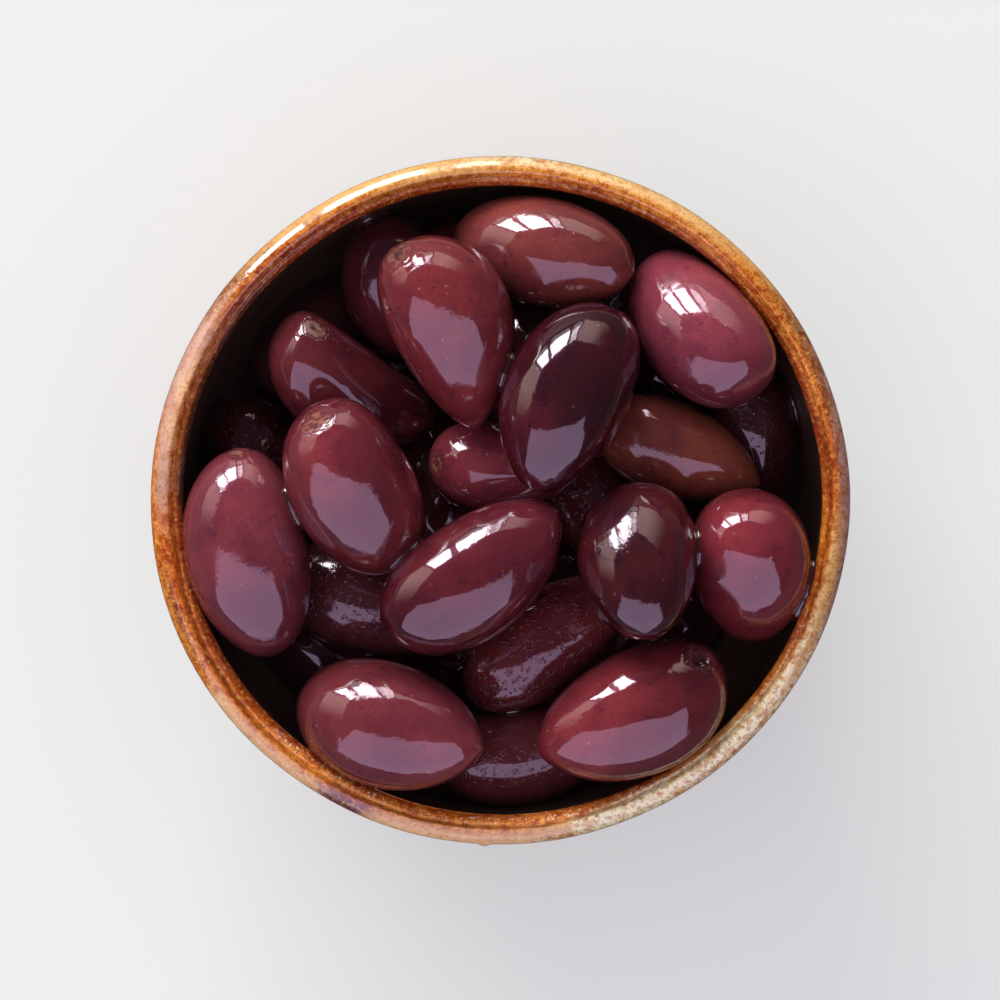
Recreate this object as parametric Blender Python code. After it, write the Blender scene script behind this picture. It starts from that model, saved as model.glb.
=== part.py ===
"""A small round stoneware bowl heaped with kalamata-type olives.

Two solids: the turned bowl, with its rounded lip, inner glaze band and low foot ring,
and the heap of olives inside it, solid from the cavity's floor up to its uneven top.
The origin is on the table, under the bowl's middle. Metres, +Z up.
"""

from math import asin, cos, pi, radians, sin

import bmesh
import bpy
from mathutils import Vector

MM = 0.001

# The bowl. Its plan is slightly oval, as a hand-thrown one is.
LIP_OUTER_RADIUS = 49.0 * MM
OVAL = 0.983  # depth along Y over width along X
LIP_TOP = 50.0 * MM
LIP_CREST_RADIUS = 47.0 * MM
LIP_ARC_RISE = 2.4 * MM
LIP_STEPS = 4  # from the outer edge to the crest
CREASE_STEPS = 2  # from the crest to the crease
CREASE_RADIUS = 45.9 * MM
CREASE_DEPTH = 0.3 * MM
MOUTH_RADIUS = 44.65 * MM
MOUTH_HEIGHT = 47.6 * MM
WALL_OUTER_RADIUS = 48.7 * MM
WALL_OUTER_TOP = 45.0 * MM
WALL_OUTER_BOTTOM = 1.0 * MM
CAVITY_RADIUS = 44.9 * MM
CAVITY_TOP = 46.6 * MM
CAVITY_FLOOR = 6.0 * MM
WALL_FULLNESS = 2.8  # 2 is an ellipse, more is a fuller curve
WALL_STEPS = 10
FOOT_OUTER_RADIUS = 24.0 * MM
FOOT_INNER_RADIUS = 20.5 * MM
FOOT_CHAMFER = 0.8 * MM
FOOT_RECESS = 2.2 * MM
FOOT_FLARE = 1.0 * MM  # how far outside the foot the wall's lowest ring stands
BOWL_SIDES = 60
GLAZE_COLOUR = (0.36, 0.15, 0.05)
GLAZE_ROUGHNESS = 0.3
SHARP_EDGE = 35  # degrees

# The heap stands GAP clear of the bowl. Its core is a mound that falls away at the wall.
GAP = 0.3 * MM
CORE_TOP = 46.0 * MM
CORE_EDGE = 26.0 * MM
CORE_FLATNESS = 8  # 2 is a parabola, more is a flatter top with a steeper edge
CORE_STEPS = 9
CORE_SIDES = 40
CUTTER_TOP = 70.0 * MM
SKIN_COLOUR = (0.12, 0.025, 0.035)
SKIN_ROUGHNESS = 0.12
ON_AXIS = 0.001 * MM

# One olive a row: the middle (x, y, z), length, width, heading of the tip, rise of the tip,
# sideways bend, bluntness of the stem end and of the tip. Millimetres and degrees.
# A smaller bluntness is rounder.
OLIVES = [
    # the upper layer, round the bowl and over its middle
    (-35.1, -7.5, 47.4, 29.7, 17.2, -82, -6, -0.4, 0.48, 0.52),
    (-7.3, 23.4, 52.4, 28.5, 17.0, -70, -17, 1.9, 0.45, 0.70),
    (-20.4, 2.2, 53.0, 25.4, 17.3, -63, -23, -0.8, 0.38, 0.39),
    (-3.5, -10.2, 54.0, 28.5, 16.7, 36, 2, -0.9, 0.45, 0.57),
    (9.8, 14.4, 54.6, 27.6, 17.3, -114, 13, -1.1, 0.47, 0.54),
    (19.3, -9.0, 55.0, 23.6, 16.5, -89, 38, -0.7, 0.36, 0.50),
    (34.9, -9.2, 47.3, 21.9, 16.7, 97, 32, -0.3, 0.52, 0.39),
    (28.2, 23.9, 47.0, 26.0, 16.1, -52, 31, -0.8, 0.38, 0.32),
    (6.9, 34.9, 45.5, 25.8, 15.3, -13, 22, -0.1, 0.53, 0.52),
    (-15.4, -31.1, 48.1, 27.1, 17.6, -15, 19, -0.4, 0.50, 0.59),
    (18.7, -29.4, 49.2, 27.4, 17.5, 205, 1, 1.0, 0.46, 0.57),
    # the layer under it, which shows between them
    (-20.9, 16.1, 41.3, 27.3, 14.3, -31, -27, -2.9, 0.30, 0.44),
    (-15.2, 29.5, 38.5, 23.0, 15.2, -84, -31, 0.3, 0.52, 0.58),
    (0.2, 4.5, 40.8, 21.1, 13.1, -7, 14, -0.3, 0.45, 0.69),
    (25.1, 6.9, 42.4, 24.8, 13.6, -22, -2, 0.0, 0.50, 0.67),
    (7.0, -19.8, 41.7, 28.4, 14.3, 35, -3, 0.3, 0.50, 0.62),
    (-19.1, -14.5, 36.3, 27.0, 15.0, -20, 9, 0.0, 0.50, 0.62),
    (4.5, -36.1, 36.8, 26.4, 14.4, 10, -2, 0.4, 0.49, 0.64),
    # the deep ones
    (35.8, 9.0, 32.6, 24.0, 13.5, -78, -10, 0.0, 0.50, 0.62),
    (13.9, -1.1, 31.5, 24.0, 14.0, -60, 1, 0.0, 0.50, 0.62),
    (-33.9, 7.3, 35.7, 22.0, 13.5, -60, -15, 0.0, 0.50, 0.62),
    (-9.8, 1.4, 28.0, 24.0, 14.0, -80, 3, 0.0, 0.50, 0.62),
    (-26.0, 23.3, 27.4, 24.0, 14.0, 45, -13, 0.0, 0.50, 0.62),
    (-4.4, 33.8, 26.5, 24.0, 14.0, 10, 8, 0.0, 0.50, 0.62),
    (4.3, 20.6, 33.7, 24.0, 14.0, 80, 0, 0.0, 0.50, 0.62),
    (-24.0, -23.2, 24.7, 24.0, 13.5, -35, -7, 0.0, 0.50, 0.62),
]
OLIVE_SIDES = 13
OLIVE_RINGS = 8


def clear_scene():
    for obj in list(bpy.data.objects):
        bpy.data.objects.remove(obj, do_unlink=True)


def material(name, colour, roughness):
    made = bpy.data.materials.new(name)
    made.use_nodes = True
    shader = made.node_tree.nodes["Principled BSDF"]
    shader.inputs["Base Color"].default_value = (*colour, 1.0)
    shader.inputs["Roughness"].default_value = roughness
    shader.inputs["Metallic"].default_value = 0.0
    return made


def mesh_object(name, bm):
    """The bmesh as an object, with its faces turned outwards."""
    bmesh.ops.recalc_face_normals(bm, faces=bm.faces)
    mesh = bpy.data.meshes.new(name)
    bm.to_mesh(mesh)
    bm.free()
    obj = bpy.data.objects.new(name, mesh)
    bpy.context.collection.objects.link(obj)
    return obj


def superellipse_radius(radius, drop, fall):
    """Radius of a full, rounded wall at a fraction drop / fall of its way down to the middle."""
    return radius * max(0.0, 1.0 - (drop / fall) ** WALL_FULLNESS) ** (1.0 / WALL_FULLNESS)


def wall_curve(radius, top, bottom, stop_radius=0.0):
    """Points (r, z) down a wall from its top, evenly spread in angle, to stop_radius."""
    points = []
    for step in range(WALL_STEPS + 1):
        angle = 0.5 * pi * step / WALL_STEPS
        drop = (top - bottom) * sin(angle) ** (2.0 / WALL_FULLNESS)
        r = superellipse_radius(radius, drop, top - bottom)
        if r < stop_radius:
            break
        points.append((r, top - drop))
    return points


def cavity_curve(gap):
    """The cavity's wall from the mouth to the middle of its floor, moved inwards by gap."""
    return wall_curve(CAVITY_RADIUS - gap, CAVITY_TOP, CAVITY_FLOOR + gap)


def bowl_profile():
    """Half section of the bowl, from the recess under it, up the outside and down the inside."""
    foot = [
        (0.0, FOOT_RECESS),
        (FOOT_INNER_RADIUS - FOOT_RECESS, FOOT_RECESS),
        (FOOT_INNER_RADIUS, 0.0),
        (FOOT_OUTER_RADIUS - FOOT_CHAMFER, 0.0),
        (FOOT_OUTER_RADIUS, FOOT_CHAMFER),
    ]
    outside = wall_curve(
        WALL_OUTER_RADIUS, WALL_OUTER_TOP, WALL_OUTER_BOTTOM, FOOT_OUTER_RADIUS + FOOT_FLARE
    )
    arc_centre = LIP_TOP - LIP_ARC_RISE
    arc_width = LIP_OUTER_RADIUS - LIP_CREST_RADIUS
    inner_sweep = asin((LIP_CREST_RADIUS - CREASE_RADIUS) / arc_width)
    angles = [0.5 * pi * step / LIP_STEPS for step in range(LIP_STEPS + 1)]
    angles += [0.5 * pi + inner_sweep * (step + 1) / CREASE_STEPS for step in range(CREASE_STEPS)]
    lip = [(LIP_CREST_RADIUS + arc_width * cos(a), arc_centre + LIP_ARC_RISE * sin(a)) for a in angles]
    crease_height = lip[-1][1]
    band = [
        (CREASE_RADIUS - CREASE_DEPTH / 2, crease_height - CREASE_DEPTH),
        (CREASE_RADIUS - CREASE_DEPTH, crease_height),
        (MOUTH_RADIUS + CREASE_DEPTH, crease_height - 2 * CREASE_DEPTH),
        (MOUTH_RADIUS, MOUTH_HEIGHT),
    ]
    return foot + outside[::-1] + lip + band + cavity_curve(0.0)


def bridge_rings(bm, rings, sides):
    """Faces from each ring of vertices to the next. A ring of one vertex is a point."""
    for low, high in zip(rings, rings[1:]):
        for side in range(sides):
            after = (side + 1) % sides
            corners = [low[side % len(low)], low[after % len(low)]]
            corners += [high[after % len(high)], high[side % len(high)]]
            bm.faces.new(list(dict.fromkeys(corners)))


def turned(name, profile, sides):
    """A solid turned from a half section that starts and ends on the axis, drawn out to the oval."""
    bm = bmesh.new()
    rings = []
    for r, z in profile:
        if r < ON_AXIS:
            rings.append([bm.verts.new((0.0, 0.0, z))])
        else:
            angles = [2 * pi * side / sides for side in range(sides)]
            rings.append([bm.verts.new((r * cos(a), OVAL * r * sin(a), z)) for a in angles])
    bridge_rings(bm, rings, sides)
    return mesh_object(name, bm)


def olive(name, row):
    """One teardrop-shaped olive, lying along its heading."""
    x, y, z, length, width, heading, rise, bend, stem, tip = row
    turn, lift = radians(heading), radians(rise)
    along = Vector((cos(turn) * cos(lift), sin(turn) * cos(lift), sin(lift)))
    across = Vector((-sin(turn), cos(turn), 0.0))
    up = along.cross(across)
    widest = stem / (stem + tip)
    full = widest**stem * (1 - widest) ** tip
    wedge = 2 * pi / OLIVE_SIDES
    same_area = (wedge / sin(wedge)) ** 0.5  # a ring's corners stand out, so its area is a circle's
    bm = bmesh.new()
    rings = []
    for ring in range(OLIVE_RINGS + 1):
        t = (1 - cos(pi * ring / OLIVE_RINGS)) / 2
        radius = 0.5 * width * same_area * t**stem * (1 - t) ** tip / full
        sway = bend * (0.5 - (2 * t - 1) ** 2)
        middle = Vector((x, y, z)) + along * length * (t - 0.5) + across * sway
        if ring in (0, OLIVE_RINGS):
            rings.append([bm.verts.new(middle * MM)])
            continue
        circle = []
        for side in range(OLIVE_SIDES):
            angle = wedge * side
            offset = across * cos(angle) + up * sin(angle)
            circle.append(bm.verts.new((middle + offset * radius) * MM))
        rings.append(circle)
    bridge_rings(bm, rings, OLIVE_SIDES)
    return mesh_object(name, bm)


def helper(obj):
    obj.hide_render = True
    obj.display_type = "WIRE"
    return obj


def combine(obj, other, operation):
    step = obj.modifiers.new(f"{operation.lower()} {other.name}", "BOOLEAN")
    step.operation = operation
    step.solver = "EXACT"
    step.object = other


def make_bowl():
    bowl = turned("bowl", bowl_profile(), BOWL_SIDES)
    bowl.data.materials.append(material("stoneware_glaze", GLAZE_COLOUR, GLAZE_ROUGHNESS))
    bowl.data.shade_smooth()
    bowl.data.set_sharp_from_angle(angle=radians(SHARP_EDGE))
    return bowl


def make_heap():
    """The core and every olive in one solid, cut back to stay clear of the bowl."""
    under = [(r, z) for r, z in cavity_curve(GAP) if z < CORE_EDGE]
    edge = under[0][0]
    radii = [edge * step / CORE_STEPS for step in range(CORE_STEPS + 1)]
    mound = [(r, CORE_TOP - (CORE_TOP - CORE_EDGE) * (r / edge) ** CORE_FLATNESS) for r in radii]
    heap = turned("olive_heap", mound + under, CORE_SIDES)
    heap.data.materials.append(material("olive_skin", SKIN_COLOUR, SKIN_ROUGHNESS))
    for number, row in enumerate(OLIVES):
        combine(heap, helper(olive(f"olive_{number:02d}", row)), "UNION")
    mouth = MOUTH_RADIUS - GAP
    room_profile = [(0.0, CUTTER_TOP), (mouth, CUTTER_TOP), (mouth, CAVITY_TOP)] + cavity_curve(GAP)[1:]
    combine(heap, helper(turned("heap_room", room_profile, BOWL_SIDES)), "INTERSECT")
    return heap


def main():
    clear_scene()
    make_bowl()
    make_heap()


main()
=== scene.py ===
from math import cos, hypot, pi, radians, sin, tan
from typing import NamedTuple

import bpy
import numpy as np
from bpy.props import FloatProperty, FloatVectorProperty, PointerProperty
from mathutils import Matrix, Vector, noise
from mathutils.bvhtree import BVHTree


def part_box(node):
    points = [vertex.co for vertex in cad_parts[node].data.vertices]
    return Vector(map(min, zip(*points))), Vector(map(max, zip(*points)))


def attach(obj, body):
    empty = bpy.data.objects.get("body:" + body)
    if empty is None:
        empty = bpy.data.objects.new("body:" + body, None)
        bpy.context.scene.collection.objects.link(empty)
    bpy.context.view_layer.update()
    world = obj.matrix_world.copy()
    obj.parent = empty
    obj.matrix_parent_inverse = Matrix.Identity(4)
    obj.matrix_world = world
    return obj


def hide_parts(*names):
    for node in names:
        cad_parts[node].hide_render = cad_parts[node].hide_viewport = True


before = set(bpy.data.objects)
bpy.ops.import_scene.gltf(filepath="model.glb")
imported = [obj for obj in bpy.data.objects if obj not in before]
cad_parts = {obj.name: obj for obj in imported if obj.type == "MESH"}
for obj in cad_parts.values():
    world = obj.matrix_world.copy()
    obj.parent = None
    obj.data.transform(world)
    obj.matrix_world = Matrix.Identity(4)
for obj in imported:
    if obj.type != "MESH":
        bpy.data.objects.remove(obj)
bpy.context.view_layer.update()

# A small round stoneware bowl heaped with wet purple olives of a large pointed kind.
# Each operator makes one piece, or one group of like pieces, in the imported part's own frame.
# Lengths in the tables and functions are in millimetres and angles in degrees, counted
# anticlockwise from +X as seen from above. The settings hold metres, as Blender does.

bl_info = {
    "name": "Dish of olives",
    "version": (1, 0, 0),
    "blender": (4, 5, 0),
    "location": "View3D > Sidebar > Olives",
    "description": "Finishes a stoneware bowl heaped with olives over its packed frame",
    "category": "Object",
}

MM = 0.001
BOWL_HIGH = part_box("bowl")[1]


# ---- settings
def length(name, description, default):
    """A length in metres; the default is given in millimetres."""
    return FloatProperty(name=name, description=description, default=default * MM,
                         unit="LENGTH", precision=5)


def level(name, description, default):
    return FloatProperty(name=name, description=description, default=default)


def colour(name, description, default):
    return FloatVectorProperty(name=name, description=description, default=default,
                               subtype="COLOR", size=3, min=0.0, max=1.0)


class BowlSettings(bpy.types.PropertyGroup):
    """The bowl's sizes and its glazes."""

    lip_radius: length("Lip radius", "Half the width over the lip", BOWL_HIGH[0] / MM)
    lip_depth: length("Lip depth", "Half the depth over the lip", BOWL_HIGH[1] / MM)
    lip_top: length("Height", "Height of the lip above the table", BOWL_HIGH[2] / MM)
    mouth_radius: length("Mouth radius", "Inside the lip, where the dark wall starts", 44.75)
    mouth_shift: length("Mouth shift", "How far the mouth was pulled to the right", 0.3)
    throwing_ribs: length("Throwing ribs", "Depth of the potter's finger marks", 0.07)
    glaze_line: length("Glaze line", "The glaze stops this high above the table", 4.2)
    cream: colour("Cream", "Thick pale glaze", (0.76, 0.62, 0.42))
    straw: colour("Straw", "Pale yellow glaze", (0.78, 0.50, 0.22))
    honey: colour("Honey", "Golden glaze", (0.72, 0.245, 0.028))
    gold: colour("Gold", "Bright orange glaze", (1.0, 0.35, 0.055))
    amber: colour("Amber", "Orange-brown glaze", (0.62, 0.150, 0.014))
    rust: colour("Rust", "Red-brown glaze", (0.38, 0.060, 0.011))
    umber: colour("Umber", "Dark brown glaze", (0.085, 0.024, 0.012))
    bronze: colour("Bronze", "Dull brown glaze", (0.35, 0.14, 0.065))
    rose: colour("Rose", "Milky pink glaze", (0.56, 0.30, 0.245))
    blush: colour("Blush", "The same where it lies thicker", (1.0, 0.60, 0.34))
    mauve: colour("Mauve", "Purplish brown glaze", (0.42, 0.21, 0.19))
    violet: colour("Violet", "Dull purple glaze", (0.22, 0.085, 0.105))
    tan: colour("Tan", "Flat pinkish brown glaze", (0.76, 0.40, 0.14))
    lilac: colour("Lilac", "Glaze pooled thinly in the crease", (0.33, 0.13, 0.105))
    ash: colour("Ash", "Thin greyish glaze", (0.86, 0.67, 0.50))
    bone: colour("Bone", "The palest, thickest glaze", (1.0, 0.92, 0.64))
    # the colour of the painted glints, pale dots standing in for sparkles of reflected light inside
    # the crease
    bead: colour("Beads", "Pale beads in the glaze inside the crease", (1.0, 0.86, 0.76))
    soot: colour("Inside", "Dark glaze inside the bowl", (0.105, 0.055, 0.046))
    clay_light: colour("Clay", "Bare clay of the foot, light", (0.52, 0.36, 0.24))
    clay_dark: colour("Clay grit", "Bare clay of the foot, dark", (0.30, 0.18, 0.11))


class OliveSettings(bpy.types.PropertyGroup):
    """The olives' skins and marks."""

    dent: length("Dents", "Depth of the soft dents in each olive", 0.09)
    # painted shade: how much the skin's colour is darkened where it faces sideways or down
    painted_side_shade: level("Dusk", "How much darker the skin is on its sides", 0.45)
    scar_radius: length("Scar radius", "Of the scar where the stalk was", 1.80)
    scar_depth: length("Scar depth", "Of the hole in the scar", 0.30)
    wine: colour("Wine", "Skin of the wine-red olives", (0.150, 0.0235, 0.033))
    wine_glow: colour("Wine, ripe side", "Brighter patches on them", (0.218, 0.036, 0.043))
    wine_bruise: colour("Wine, bruised", "Darker patches on them", (0.085, 0.015, 0.027))
    plum: colour("Plum", "Skin of the darkest olives", (0.045, 0.009, 0.013))
    plum_glow: colour("Plum, ripe side", "Brighter patches on them", (0.076, 0.012, 0.018))
    plum_bruise: colour("Plum, bruised", "Darker patches on them", (0.024, 0.006, 0.015))
    brown: colour("Brown", "Skin of the least ripe olives", (0.205, 0.050, 0.036))
    brown_glow: colour("Brown, ripe side", "Brighter patches on them", (0.340, 0.088, 0.048))
    brown_bruise: colour("Brown, bruised", "Darker patches on them", (0.110, 0.025, 0.030))
    speck: colour("Specks", "Pale pores in the skin", (0.46, 0.20, 0.18))


class BrineSettings(bpy.types.PropertyGroup):
    """The brine that clings between the olives."""

    gap: length("Gap", "Brine fills gaps narrower than this", 0.62)
    reach: length("Reach", "It spreads no further than this from a contact", 5.0)
    light: colour("Brine", "Its lighter colour", (0.075, 0.020, 0.022))
    dark: colour("Brine, deep", "Its darker colour", (0.035, 0.010, 0.012))


class StageSettings(bpy.types.PropertyGroup):
    """The floor, the lights and the camera."""

    floor: colour("Floor", "Colour of the plain floor", (0.485, 0.50, 0.487))
    floor_glow: colour("Floor glow", "Its own soft glow, which lifts the shadow",
                       (0.325, 0.33, 0.346))
    window: level("Window", "Radiance of the window", 18.0)
    curtain: level("Curtains", "Radiance beside the window", 2.1)
    south: level("South panel", "Radiance of the soft south light", 2.1)
    daylight: level("Daylight", "What the window gives to light by", 12.5)
    fill: level("Fill", "A soft light from the west", 0.4)
    room: level("Room", "Soft light from overhead", 0.86)
    camera_height: length("Camera height", "Above the lip", 750.0)
    view_width: length("View width", "Seen at the lip's height", 140.0)


# ---- the bowl's shape
CREST_RADIUS = 47.0
LIP_ARC_RISE = 2.4
# The lip's profile from its outer edge inwards: each stretch's first and last slope, and width.
LIP_ROLL = [((86, 42), 0.80), ((40, 29), 0.68), ((27, 2), 0.72), ((-2, -46), 0.43),
            ((-46, -50), 0.53)]
MOUTH_HEIGHT = 47.6
WALL_RADIUS = 48.7
WALL_TOP = 45.0
WALL_BOTTOM = 1.0
CAVITY_RADIUS = 44.9
CAVITY_TOP = 46.6
CAVITY_FLOOR = 6.0
FULLNESS = 2.8  # 2 is an ellipse, more is a fuller wall
FOOT_OUTER = 24.0
FOOT_INNER = 20.5
FOOT_CHAMFER = 0.8
FOOT_RECESS = 2.2
BOWL_SIDES = 480
RIB_STEP = 4.3  # from one throwing rib to the next
DRIP_ANGLE, DRIP_HEIGHT, DRIP_OUT, DRIP_WIDTH = 267.4, 47.2, 0.55, 0.55
CREASE_MIDDLE, CREASE_HALF, CREASE_DEPTH = 0.71, 0.09, 0.16  # across the plain lip, and down

# How the glazes lie round the lip: at each angle, the glaze on its outer edge, on its face, on its
# crown, in the crease and on the band inside it.
POURS = {
    0: "mauve mauve honey rust amber",
    10: "mauve mauve amber rust rust",
    20: "mauve bronze honey gold rust",
    30: "bronze bronze honey gold rust",
    43: "tan honey amber gold rust",
    52: "tan tan honey gold rust",
    64: "straw tan honey gold rust",
    75: "straw straw honey gold rust",
    86: "cream straw honey gold amber",
    98: "tan straw tan honey rust",
    116: "tan tan honey amber rust",
    130: "tan bronze amber rust rust",
    142: "bronze bronze amber rust umber",
    151: "rose rose rose amber umber",
    160: "rose rose blush amber umber",
    178: "honey rose rose amber umber",
    187: "honey amber amber amber rust",
    200: "honey bronze amber amber rust",
    212: "honey honey amber amber rust",
    215: "blush tan amber amber rust",
    237: "blush tan honey gold rust",
    240: "violet violet rust gold rust",
    246: "violet violet rust gold rust",
    249: "blush tan honey gold amber",
    272: "blush tan honey gold amber",
    281: "ash tan tan gold honey",
    284: "bone bone bone honey amber",
    297: "bone bone bone bone rust",
    303: "ash bone bone bone amber",
    315: "ash bone bone bone tan",
    322: "ash bone bone cream honey",
    332: "ash tan bone gold amber",
    343: "mauve tan straw amber amber",
    350: "mauve tan straw amber honey",
}
BANDS = (0.08, 0.28, 0.50, 0.68, 0.90)  # their places across the lip, from 0 outside to 1 inside
BLOTCHY = {"bone": 0.9, "cream": 0.75, "straw": 0.65, "tan": 0.3, "rose": 0.3, "blush": 0.3,
           "mauve": 0.7, "umber": 0.3}  # how strongly each is mottled; the others are 1
# The crease inside the lip: the angle, its place across the lip, its strength and its glaze.
CREASE = [
    (0, 0.74, 0.9, "umber"), (25, 0.75, 0.3, "umber"), (50, 0.76, 0.5, "lilac"),
    (75, 0.76, 0.9, "lilac"), (120, 0.73, 0.9, "lilac"), (140, 0.72, 0.7, "mauve"),
    (170, 0.71, 0.6, "umber"), (195, 0.68, 0.7, "umber"), (205, 0.60, 1.1, "umber"),
    (225, 0.58, 1.0, "umber"), (238, 0.57, 0.8, "umber"), (244, 0.55, 1.4, "umber"),
    (251, 0.56, 1.3, "umber"), (280, 0.57, 1.3, "umber"), (296, 0.68, 0.35, "umber"),
    (320, 0.72, 0.65, "umber"), (342, 0.74, 1.1, "umber"),
]
SHOULDER, GROOVE = 0.52, 0.79  # places in the plain profile: the crown's inner side, the crease
# How much beading the glaze has on the band inside the crease, which also places its painted glints:
# angle, strength.
BEADS_AND_PAINTED_GLINTS = [(0, 0.2), (222, 0.2), (231, 1.0), (295, 1.0), (300, 0.2), (317, 0.2), (322, 1.0),
          (336, 1.0), (342, 0.2)]
OUTSIDE = ("amber", "honey", "rust")  # the two glazes that run down the outer wall, and its foot's


# ---- the olives
class Olive(NamedTuple):
    """Where an olive lies, its shape as in the CAD, and its ripeness and colour."""

    name: str
    middle: tuple
    length: float
    width: float
    heading: float  # of the tip
    rise: float  # of the tip
    bend: float = 0.0
    stem: float = 0.50  # bluntness of the stem end; a smaller one is rounder
    tip: float = 0.62
    # for the deep olives the tone also holds painted shade
    tone: tuple = (1.0, 1.0, 1.0)  # red, green and blue against its kind's own colour
    scar: tuple = (0.0, 90.0)  # the stem scar's place: part of the length, and round from the side
    hollow: float = 1.0  # how deep the scar is against the usual
    tip_lightening: float = 0.0  # how much lighter its tip is than its middle, and its stem end darker
    scar_size: float = 1.0
    drops: float = 0.0  # how thickly small drops of brine stand on its skin
    kind: str = "wine"


OLIVES = [
    # the upper layer, round the bowl and over its middle
    Olive("west", (-35.1, -7.5, 47.4), 29.8, 17.7, -80, -6, -1.0, 0.48, 0.52,
          (1.0, 1.1, 1.2), (0.015, 80), tip_lightening=-0.15, scar_size=0.75),
    Olive("north_west_top", (-7.1, 23.4, 52.4), 28.7, 17.5, -70, -17, 1.9, 0.45, 0.70,
          (1.12, 0.97, 0.96), (0.02, 135), tip_lightening=0.3, scar_size=1.35),
    Olive("west_top", (-20.2, 1.7, 52.8), 26.5, 17.5, -63, -23, -0.8, 0.38, 0.39,
          (0.96, 0.86, 0.87), (0.011, 105), tip_lightening=-0.12, scar_size=1.3),
    Olive("south_top", (-3.65, -10.3, 54.0), 29.2, 16.9, 36, 2, -0.9, 0.45, 0.57,
          (0.61, 0.50, 0.61), tip_lightening=0.42),
    Olive("north_top", (9.55, 14.4, 54.6), 28.4, 17.6, -114, 13, -1.1, 0.47, 0.54,
          (0.80, 0.66, 0.74), (0.01, 110), kind="plum", tip_lightening=0.2),
    Olive("east_top", (19.45, -9.0, 55.0), 23.8, 16.9, -89, 38, -0.7, 0.36, 0.50,
          (1.06, 0.94, 0.88), (0.0, 270), kind="plum", tip_lightening=-0.35),
    Olive("east", (35.1, -9.6, 47.3), 22.9, 17.1, 97, 32, -0.3, 0.52, 0.39,
          (0.93, 0.72, 0.82), (0.0, 270), tip_lightening=0.25),
    Olive("north_east", (27.95, 24.25, 47.0), 26.0, 16.5, -52, 31, -0.8, 0.38, 0.32,
          (1.34, 1.42, 1.63), tip_lightening=-0.2),
    Olive("north", (6.2, 35.0, 45.5), 27.2, 15.5, -13, 22, -0.1, 0.53, 0.52,
          (1.12, 1.35, 0.98), tip_lightening=-0.22),
    Olive("south_west", (-15.4, -31.6, 48.1), 28.0, 18.0, -15, 19, -0.4, 0.50, 0.59,
          (0.92, 0.96, 0.97), tip_lightening=0.42),
    Olive("south_east", (18.55, -29.75, 49.2), 28.6, 17.9, 205, 1, 1.0, 0.46, 0.57,
          (0.93, 0.76, 0.78), (0.093, 120), 4.0, tip_lightening=0.35, scar_size=1.2),
    # the layer under it, which shows between them
    Olive("under_north_west", (-20.9, 16.1, 41.3), 27.3, 14.3, -31, -27, -2.9, 0.30, 0.44,
          (0.45, 0.43, 0.46), (0.082, 42), tip_lightening=-0.4),
    Olive("far_north_west", (-15.2, 30.4, 38.0), 20.8, 15.0, -84, -18, 0.3, 0.52, 0.58,
          (0.40, 0.36, 0.44), tip_lightening=0.5),
    Olive("middle", (0.2, 4.5, 40.8), 21.1, 13.1, -7, 14, -0.3, 0.45, 0.69,
          (1.24, 1.15, 1.33), (0.112, 96), scar_size=0.85),
    Olive("under_east", (25.1, 6.9, 42.4), 24.8, 13.6, -22, -2, 0.0, 0.50, 0.67,
          (0.66, 0.58, 0.66), kind="brown", tip_lightening=-0.25),
    Olive("under_south", (7.0, -19.8, 41.7), 28.4, 14.3, 35, -3, 0.3, 0.50, 0.62,
          (0.66, 0.62, 0.60), tip_lightening=0.35, drops=1.0),
    Olive("under_south_west", (-19.1, -14.5, 36.3), 27.0, 15.0, -20, 9,
          tone=(0.44, 0.60, 0.62), tip_lightening=0.5, drops=0.8),
    Olive("far_south", (4.5, -36.1, 36.8), 26.4, 14.4, 10, -2, 0.4, 0.49, 0.64,
          (0.57, 0.66, 0.64), tip_lightening=0.1, drops=0.5),
    # the deep ones, whose low tones are painted shade as well as their own colour
    Olive("deep_east", (35.8, 9.0, 32.6), 24.0, 13.5, -78, -10, tone=(0.25, 0.3, 0.3), drops=1.0),
    Olive("deep_middle", (13.9, -1.1, 31.5), 24.0, 14.0, -60, 1,
          tone=(0.53, 0.60, 0.52), drops=0.6),
    Olive("deep_west", (-33.6, 5.0, 34.6), 22.0, 13.5, -60, -15,
          tone=(0.11, 0.12, 0.11), drops=1.0),
    Olive("deep_centre", (-9.8, 1.4, 28.0), 24.0, 14.0, -80, 3, tone=(0.35, 0.4, 0.35)),
    Olive("deep_north_west", (-26.0, 23.3, 27.4), 24.0, 14.0, 45, -13, tone=(0.25, 0.4, 0.4)),
    Olive("deep_north", (-4.4, 33.8, 26.5), 24.0, 14.0, 10, 8),
    Olive("deep_north_middle", (4.3, 20.6, 33.7), 24.0, 14.0, 80, 0, tone=(0.35, 0.5, 0.4)),
    Olive("deep_south_west", (-24.0, -23.2, 24.7), 24.0, 13.5, -35, -7, tone=(0.3, 0.5, 0.45)),
]
KINDS = {"wine": 0.45, "plum": 0.65, "brown": 0.35}  # how strongly the skin of each is bruised
UPPER, UNDER = 11, 7  # so many rows above are the upper layer, and then the layer under it
FINE, PLAIN, COARSE = (88, 72), (72, 56), (48, 36)  # sides and rings of an olive in each layer


# ---- small helpers for meshes
def wander(angle, seed, waves):
    """A smooth closed curve of random waves round a circle, between about -1 and 1."""
    rng = np.random.default_rng(seed)
    phases = rng.uniform(0, 2 * pi, len(waves))
    total = sum(np.sin(wave * angle + phase) for wave, phase in zip(waves, phases))
    return total / len(waves) ** 0.5


def soft_step(value, low, high):
    """0 below low, 1 above high, and smooth between."""
    t = np.clip((value - low) / (high - low), 0.0, 1.0)
    return t * t * (3 - 2 * t)


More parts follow.
